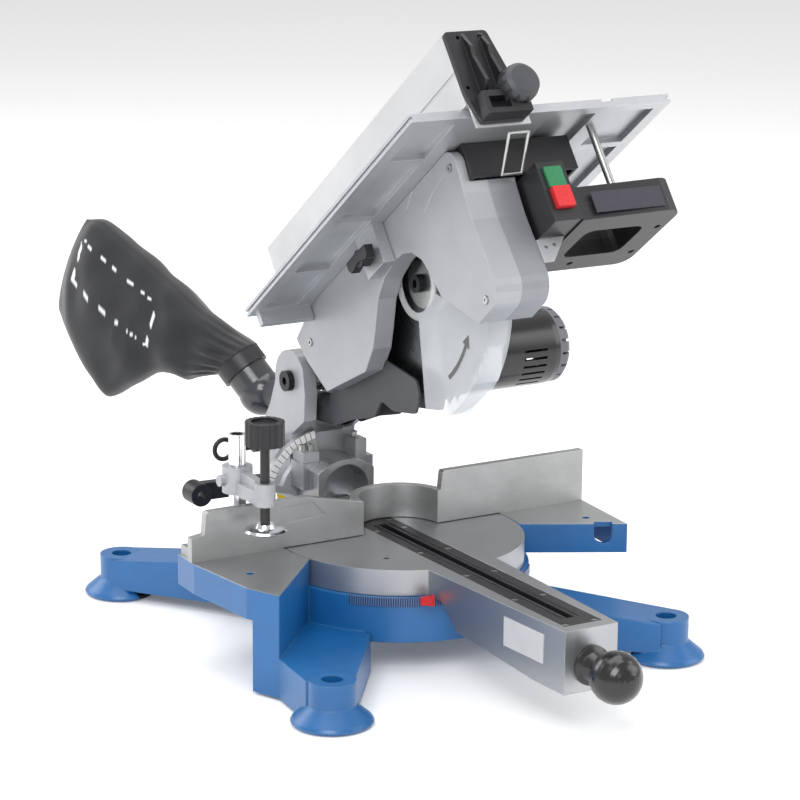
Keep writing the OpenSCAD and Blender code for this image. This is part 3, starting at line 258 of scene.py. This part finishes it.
def wovenCloth(name, colour, light, threadMm, printColour):
    # plain weave: two sets of threads cross, and the piece's own attribute holds the printed border
    material, tree = blankMaterial(name)
    uv = addNode(tree, "ShaderNodeUVMap", {"uv_map": "metres"}).outputs["UV"]
    threads = []
    for direction in ("X", "Y"):
        threads.append(addNode(tree, "ShaderNodeTexWave", {"wave_type": "BANDS", "bands_direction": direction},
                               {"Scale": 1000 / threadMm / 20 * math.pi, "Distortion": 0.6, "Detail": 1.0,
                                "Detail Scale": 2.0}, {"Vector": uv}))
    weave = addNode(tree, "ShaderNodeMath", {"operation": "MULTIPLY"}, links={
        0: threads[0].outputs["Fac"], 1: threads[1].outputs["Fac"]})
    place = addNode(tree, "ShaderNodeTexCoord").outputs["Object"]
    cloud = addNode(tree, "ShaderNodeTexNoise", values={"Scale": 26.0, "Detail": 5.0}, links={"Vector": place})
    tone = addNode(tree, "ShaderNodeMapRange", values={"From Min": 0.3, "From Max": 0.75, "To Min": 0.0,
                   "To Max": 0.8}, links={"Value": cloud.outputs["Fac"]})
    cloth = addNode(tree, "ShaderNodeMix", {"data_type": "RGBA"}, {6: srgb(colour), 7: srgb(light)},
                    {0: tone.outputs["Result"]})
    border = addNode(tree, "ShaderNodeAttribute", {"attribute_name": "printed"})
    shade = addNode(tree, "ShaderNodeMix", {"data_type": "RGBA"}, {7: srgb(printColour)},
                    {0: border.outputs["Fac"], 6: cloth.outputs[2]})
    relief = addNode(tree, "ShaderNodeBump", values={"Strength": 0.5, "Distance": 0.25 * mm},
                     links={"Height": weave.outputs["Value"]})
    surface = addNode(tree, "ShaderNodeBsdfPrincipled", values={"Roughness": 0.82, "Sheen Weight": 0.35,
                      "Sheen Roughness": 0.45}, links={"Base Color": shade.outputs[2],
                      "Normal": relief.outputs["Normal"]})
    addNode(tree, "ShaderNodeOutputMaterial", links={"Surface": surface.outputs["BSDF"]})
    return material


def tickedFilm(name, colour, tickColour, centre, axes, stepDegrees, share):
    # ticks stand at equal angles round a centre: the angle's remainder picks them out
    material, tree = blankMaterial(name)
    place = addNode(tree, "ShaderNodeTexCoord").outputs["Object"]
    local = addNode(tree, "ShaderNodeVectorMath", {"operation": "SUBTRACT"}, {1: centre}, {0: place})
    parts = addNode(tree, "ShaderNodeSeparateXYZ", links={0: local.outputs["Vector"]})
    angle = addNode(tree, "ShaderNodeMath", {"operation": "ARCTAN2"}, links={
        0: parts.outputs[axes[0]], 1: parts.outputs[axes[1]]})
    steps = addNode(tree, "ShaderNodeMath", {"operation": "MULTIPLY"}, {1: 180 / math.pi / stepDegrees},
                    {0: angle.outputs["Value"]})
    rest = addNode(tree, "ShaderNodeMath", {"operation": "FRACT"}, links={0: steps.outputs["Value"]})
    tick = addNode(tree, "ShaderNodeMath", {"operation": "LESS_THAN"}, {1: share}, {0: rest.outputs["Value"]})
    shade = addNode(tree, "ShaderNodeMix", {"data_type": "RGBA"}, {6: srgb(colour), 7: srgb(tickColour)},
                    {0: tick.outputs["Value"]})
    cloud = addNode(tree, "ShaderNodeTexNoise", values={"Scale": 60.0, "Detail": 3.0}, links={"Vector": place})
    gloss = addNode(tree, "ShaderNodeMapRange", values={"To Min": 0.3, "To Max": 0.5},
                    links={"Value": cloud.outputs["Fac"]})
    surface = addNode(tree, "ShaderNodeBsdfPrincipled", links={
        "Base Color": shade.outputs[2], "Roughness": gloss.outputs["Result"]})
    addNode(tree, "ShaderNodeOutputMaterial", links={"Surface": surface.outputs["BSDF"]})
    return material


def centreOf(node):
    low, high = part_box(node)
    return tuple((low + high) / 2)


swivel = centreOf("swivel_bolt")
arbor = centreOf("saw_blade")

# each finish below paints its rounded edges in a lighter edge colour: partly wear, partly a painted highlight
# powder coat over cast aluminium, with a faint orange peel
blueCoat = finish("powderCoatedCastingBlue", "#16609c", "#104b80", 0.5, 90, 0.36, 0.05, coat=0.2,
                  grainMm=2.5, grainDepthMm=0.03, edgeMm=2.6, edgeWearHighlightColour="#4f93cc", edgeWearHighlightMix=0.35, bareAbove=0.1097)
# satin silver lacquer over die-cast aluminium
silverCoat = finish("silverLacquerOnCasting", "#a4a6a9", "#909397", 0.4, 70, 0.42, 0.06, metallic=0.35,
                    coat=0.15, grainMm=1.2, grainDepthMm=0.05, edgeMm=1.4, edgeWearHighlightColour="#e6e8ea", edgeWearHighlightMix=0.3)
darkSilver = finish("silverLacquerOnHousing", "#8c8e93", "#7a7c82", 0.4, 70, 0.42, 0.06, metallic=0.35,
                    coat=0.15, grainMm=1.2, grainDepthMm=0.05, edgeMm=1.4, edgeWearHighlightColour="#dadcdf", edgeWearHighlightMix=0.3)
turnedTop = turnedMetal("turnedCastAluminium", "#b0b1b4", swivel, 2, 1.1, 0.36)
millFace = finish("milledAluminiumFace", "#acadad", "#929394", 0.5, 40, 0.4, 0.12, metallic=0.8,
                  grainMm=2.4, grainDepthMm=0.02, stretch=(0.15, 1, 3), edgeWearHighlightColour="#f2f3f4", edgeWearHighlightMix=0.4)
groundTable = finish("groundAluminiumPlate", "#bcbec1", "#a4a6aa", 0.45, 60, 0.38, 0.1, metallic=0.7,
                     grainMm=2.0, grainDepthMm=0.02, stretch=(3, 0.15, 0.15), edgeWearHighlightColour="#fafafa", edgeWearHighlightMix=0.4)
anodised = finish("clearAnodisedExtrusion", "#cccdcf", "#b5b7ba", 0.4, 120, 0.36, 0.06, metallic=0.6,
                  grainMm=1.5, grainDepthMm=0.012, stretch=(4, 0.12, 0.12), edgeWearHighlightColour="#ffffff", edgeWearHighlightMix=0.3)
castClamp = finish("beadBlastedCasting", "#aeb0b3", "#94969a", 0.5, 30, 0.48, 0.08, metallic=0.6,
                   grainMm=0.9, grainDepthMm=0.05, edgeWearHighlightColour="#e8e9ea", edgeWearHighlightMix=0.4)
zinc = finish("zincPlatedSteel", "#b7b9b8", "#9a9b96", 0.4, 15, 0.3, 0.08, metallic=1.0, grainMm=0.8,
              grainDepthMm=0.01, edgeMm=0.4)
blackSteel = finish("blackOxideSteel", "#2b2c2f", "#1d1d1f", 0.5, 12, 0.36, 0.08, metallic=0.8, grainMm=0.7,
                    grainDepthMm=0.01, edgeMm=0.4, edgeWearHighlightColour="#8b8c8f", edgeWearHighlightMix=0.4)
chrome = finish("chromedSteel", "#dfe1e3", "#cfd2d5", 0.3, 30, 0.12, 0.03, metallic=1.0, grainMm=3.0,
                grainDepthMm=0.003, edgeMm=0.5)
bladeSteel = turnedMetal("groundBladeSteel", "#8b8e91", arbor, 0, 0.9, 0.3, 1.0)
rotorSteel = finish("steelLaminations", "#6d6258", "#54483d", 0.5, 12, 0.5, metallic=0.7)
# moulded ABS with a fine spark-eroded grain
blackAbs = finish("grainedBlackAbs", "#17171a", "#222226", 0.5, 50, 0.42, 0.08, grainMm=0.9,
                  grainDepthMm=0.04, edgeMm=1.2, edgeWearHighlightColour="#4c4c52", edgeWearHighlightMix=0.35)
glossAbs = finish("polishedBlackAbs", "#0f0f11", "#1a1a1e", 0.4, 60, 0.22, 0.04, coat=0.3, grainMm=4.0,
                  grainDepthMm=0.01, edgeMm=1.0, edgeWearHighlightColour="#57575e", edgeWearHighlightMix=0.3)
greyNylon = finish("glassFilledNylonGrey", "#3b3c40", "#2e2f33", 0.5, 40, 0.5, 0.08, grainMm=1.0,
                   grainDepthMm=0.05, edgeWearHighlightColour="#6a6b70", edgeWearHighlightMix=0.35)
capGrey = finish("mouldedGreyCap", "#6d6f74", "#5b5d62", 0.4, 40, 0.45, 0.08, grainMm=0.9,
                 grainDepthMm=0.04, edgeWearHighlightColour="#9c9ea3", edgeWearHighlightMix=0.3)
softGrip = finish("softTouchGrip", "#34333d", "#2a2932", 0.5, 25, 0.68, 0.06, grainMm=0.9,
                  grainDepthMm=0.08, edgeWearHighlightColour="#55545f", edgeWearHighlightMix=0.3, sheen=0.15)
rubber = finish("mouldedRubber", "#141414", "#1f1f1f", 0.5, 25, 0.75, 0.05, grainMm=1.0, grainDepthMm=0.05)
smoked = clearPlastic("smokedPolycarbonate", "#3a3b3f", 0.93, 0.16, 1.58)
clearGuard = clearPlastic("clearPolycarbonate", "#dfe3e6", 0.34, 0.05, 1.58, arbor)
whiteFilm = finish("whiteVinylFilm", "#e3e3ea", "#d5d5de", 0.4, 30, 0.35, 0.05, grainMm=2.0, grainDepthMm=0.01)
greyFilm = finish("silverVinylFilm", "#b9babd", "#a9aaad", 0.4, 30, 0.35, 0.05, grainMm=2.0, grainDepthMm=0.01)
darkPrint = tickedFilm("printedScaleBand", "#13284f", "#5f86b8", swivel, ("Y", "X"), 1.0, 0.22)
tiltPrint = tickedFilm("printedTiltScale", "#e6e6e4", "#2b2b2d", (0, 0.13, 0.11), ("Z", "X"), 5.0, 0.12)
redGloss = finish("redPushButton", "#c9272c", "#a81d22", 0.4, 15, 0.28, 0.04, grainMm=1.2, grainDepthMm=0.01)
greenGloss = finish("greenPushButton", "#2c7a50", "#215f3d", 0.4, 15, 0.28, 0.04, grainMm=1.2, grainDepthMm=0.01)
yellowPaint = finish("yellowEnamel", "#e2c21c", "#c9a914", 0.4, 10, 0.35, 0.05, grainMm=1.0, grainDepthMm=0.01)
bagCloth = wovenCloth("wovenPolyesterBlack", "#1d1e21", "#2c2d31", 0.9, "#e9eaec")
print("materials ready")

looks = {
    blueCoat: ["base_casting"], darkPrint: ["mitre_scale"], millFace: ["fence"],
    blackSteel: ["fence_bolts", "hinge_bolt", "arbor_shaft"],
    zinc: ["swivel_bolt", "insert_screws", "tilt_bolt", "stop_screws", "lock_rod", "return_spring",
           "cover_screws", "riving_knife", "wire_bail", "blade_flanges", "table_posts"],
    rubber: ["foot_pads", "drive_belt"], turnedTop: ["turntable_casting"],
    blackAbs: ["kerf_insert", "bevel_lock_lever", "head_lock_pin", "table_shroud", "handle_lower",
               "handle_upper", "switch_box", "table_insert", "height_clamp_knob", "rip_fence_bracket",
               "dust_collar", "clamp_screw"],
    glossAbs: ["front_lock_knob", "motor_housing"], greyNylon: ["chip_chute", "rip_fence_knob"],
    capGrey: ["motor_end_cap"], redGloss: ["mitre_pointer", "stop_button"],
    greyFilm: ["arm_label"], tiltPrint: ["bevel_scale"], whiteFilm: ["rating_plate"],
    castClamp: ["stop_blocks", "clamp_arm"], chrome: ["clamp_post", "clamp_pad"],
    silverCoat: ["bevel_bracket", "head_cover", "switch_bracket"], darkSilver: ["gear_housing"],
    yellowPaint: ["bevel_pointer"], rotorSteel: ["motor_rotor"], softGrip: ["grip_panel"],
    greenGloss: ["start_button"], smoked: ["dust_elbow"], bagCloth: ["dust_bag"],
    bladeSteel: ["saw_blade"], clearGuard: ["lower_guard"], groundTable: ["upper_table"],
    anodised: ["rip_fence"],
}
for material, names in looks.items():
    for name in names:
        for holder in nodes[name].material_slots:
            holder.material = material


def meshFromGrid(name, points, material, closeU=False, capEnds=False, smooth=True):
    # points is an array (rows, columns, 3); neighbours on the grid become quads
    rows, columns = points.shape[:2]
    index = np.arange(rows * columns).reshape(rows, columns)
    right = np.roll(index, -1, axis=1) if closeU else index[:, 1:]
    left = index if closeU else index[:, :-1]
    quads = np.stack([left[:-1], right[:-1], right[1:], left[1:]], axis=-1).reshape(-1, 4)
    faces = quads.tolist()
    if capEnds:
        faces += [index[0, ::-1].tolist(), index[-1].tolist()]
    mesh = bpy.data.meshes.new(name)
    mesh.from_pydata(points.reshape(-1, 3).tolist(), [], faces)
    if smooth:
        mesh.polygons.foreach_set("use_smooth", np.ones(len(mesh.polygons), bool))
    mesh.materials.append(material)
    mesh.update()
    piece = bpy.data.objects.new(name, mesh)
    bpy.context.scene.collection.objects.link(piece)
    return piece


def curveThrough(knots, t):
    # a smooth curve through the knots: cubic Hermite pieces whose slopes are the neighbours' mean slope
    knots = np.asarray(knots, float)
    x, y = knots[:, 0], knots[:, 1]
    slope = np.gradient(y, x)
    i = np.clip(np.searchsorted(x, t) - 1, 0, len(x) - 2)
    h = x[i + 1] - x[i]
    s = (t - x[i]) / h
    return ((2 * s ** 3 - 3 * s ** 2 + 1) * y[i] + (s ** 3 - 2 * s ** 2 + s) * h * slope[i]
            + (3 * s ** 2 - 2 * s ** 3) * y[i + 1] + (s ** 3 - s ** 2) * h * slope[i + 1])


# the bag's own axes: it leaves the elbow to the back and to the left
bag = {"lift": 36.8, "hinge": (0, 140, 246), "elbow": (-4, 134, 43), "turn": 44.2, "tilt": -45.7,
       "roll": -25.6, "neckLift": 32, "neckLen": 48, "half": 33, "length": 289,
       # the upper edge, the lower edge and the half thickness, each along the bag from neck to end
       "top": [(0, -50), (0.1, -55), (0.2, -63), (0.45, -88), (0.75, -112), (0.88, -119), (1, -112)],
       "low": [(0, -1), (0.1, 9), (0.2, 19), (0.3, 20), (0.4, 30), (0.5, 54), (0.62, 80), (0.72, 66),
               (0.86, 40), (1, 5)],
       "thick": [(0, 28.5), (0.12, 27), (0.35, 31), (0.6, 32), (0.85, 27), (0.95, 17), (1, 6)],
       # the printed border's middle (along, down), its half sizes and its lean
       "borderAt": (205, -52), "borderHalf": (62, 27), "borderLean": 0.30,
       "rows": 150, "columns": 128}


def turnMatrix(*steps):
    total = Matrix.Identity(3)
    for degrees, axis in steps:
        total = total @ Matrix.Rotation(math.radians(degrees), 3, axis)
    return np.array(total)


headTurn = turnMatrix((-bag["lift"], "X"))
bagTurn = turnMatrix((-bag["lift"], "X"), (bag["turn"], "Z"), (bag["tilt"], "X"), (bag["roll"], "Z"))
elbowAt = np.array(bag["hinge"]) + headTurn @ np.array(bag["elbow"])


def makeBag(b):
    # across: angle u round a flattened ring; along: v from the neck to the closed end. The ring's top and
    # bottom follow two curves, its sides a third, and shallow waves make the gathers, creases and sag
    v = np.linspace(0, 1, b["rows"])[:, None]
    u = np.linspace(0, 2 * math.pi, b["columns"], endpoint=False)[None, :]
    top, low, thick = (curveThrough(b[k], v) for k in ("top", "low", "thick"))
    middle, half = (top + low) / 2, (low - top) / 2
    power = 2 + 1.3 * np.clip(v * 4, 0, 1)
    cosine, sine = np.cos(u), np.sin(u)
    down = middle + half * np.sign(sine) * np.abs(sine) ** (2 / 2.1)
    side = thick * np.sign(cosine) * np.abs(cosine) ** (2 / power)
    mouth = np.array([-math.sin(math.radians(b["neckLift"])), math.cos(math.radians(b["neckLift"]))])
    start = b["neckLen"] * mouth
    slant = math.tan(math.radians(b["neckLift"])) * (1 - np.clip(v / 0.22, 0, 1))
    length = b["length"] - start[1]
    bow = 16 * np.clip((v - 0.55) / 0.45, 0, 1) ** 2 * ((down + 20) / 100) ** 2
    along = start[1] + v * length + slant * (down - start[0]) - bow
    fade = np.clip((v - 0.02) / 0.1, 0, 1) * np.clip((1.0 - v) / 0.08, 0, 1)
    gathers = 1.6 * np.cos(17 * u + 2 * np.sin(3 * v)) * np.exp(-((v - 0.07) / 0.1) ** 2)
    folds = 2.4 * np.sin(9 * v * math.pi + 2.2 * np.sin(u + 1) + 0.8 * np.cos(2 * u))
    folds = folds * np.exp(-((v - 0.35) / 0.3) ** 2)
    creases = 1.1 * np.sin(21 * v + 5 * sine + 1.4 * np.sin(13 * v)) + 0.7 * np.sin(34 * v - 7 * sine + 1.0)
    push = (folds + creases) * fade + gathers * np.clip(v / 0.02, 0, 1)
    seam = 1.0 * np.exp(-((np.abs(sine) - 1) / 0.012) ** 2) * np.clip((v - 0.06) / 0.05, 0, 1)
    side = side + push * np.sign(cosine) * np.abs(cosine) ** 0.7
    down = down + np.sign(sine) * (seam * 1.6 + 0.25 * push * np.abs(sine))
    along = np.broadcast_to(along, down.shape)
    local = np.stack([np.clip(side, -b["half"], b["half"]), down, along], axis=-1)
    points = (local @ bagTurn.T + elbowAt) * mm
    piece = meshFromGrid("dustBag", points, bagCloth, closeU=True, capEnds=True)
    rows, columns = b["rows"], b["columns"]
    # a plain printed border on the left face, in the bag's own (along, down) plane
    frameA = (along - b["borderAt"][0]) / b["borderHalf"][0]
    frameD = (down - b["borderAt"][1] - b["borderLean"] * (b["borderAt"][0] - along)) / b["borderHalf"][1]
    edge = np.maximum(np.abs(frameA), np.abs(frameD))
    dashes = np.sin(along * 0.33 + down * 0.21) > -0.35
    printed = ((edge > 0.93) & (edge < 1.0) & (cosine < -0.05) & dashes).astype(np.float32)
    layer = piece.data.attributes.new("printed", "FLOAT", "POINT")
    layer.data.foreach_set("value", printed.ravel())
    around = np.broadcast_to(u * 0.05, (rows, columns))
    uvPoints = np.stack([around, np.broadcast_to(v * 0.26, (rows, columns))], axis=-1).reshape(-1, 2)
    uvLayer = piece.data.uv_layers.new(name="metres")
    loops = np.zeros(len(piece.data.loops), np.int32)
    piece.data.loops.foreach_get("vertex_index", loops)
    uvLayer.data.foreach_set("uv", uvPoints[loops].astype(np.float32).ravel())
    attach(piece, "head")
    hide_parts("dust_bag")
    return piece


makeBag(bag)
print("dust bag made")

floor = {"size": 14.0, "colour": "#f6f6f6", "glow": 0.12}
floorMaterial = finish("paleFloor", floor["colour"], "#e6e8ea", 0.1, 900, 0.7, 0.03, grainMm=40,
                       grainDepthMm=0.01, glow=floor["glow"])
corner = np.linspace(-floor["size"] / 2, floor["size"] / 2, 2)
floorPoints = np.stack(np.meshgrid(corner, corner) + [np.full((2, 2), -0.0002)], axis=-1)
floorPiece = meshFromGrid("floorPlane", floorPoints, floorMaterial, smooth=False)

print("all pieces ready")
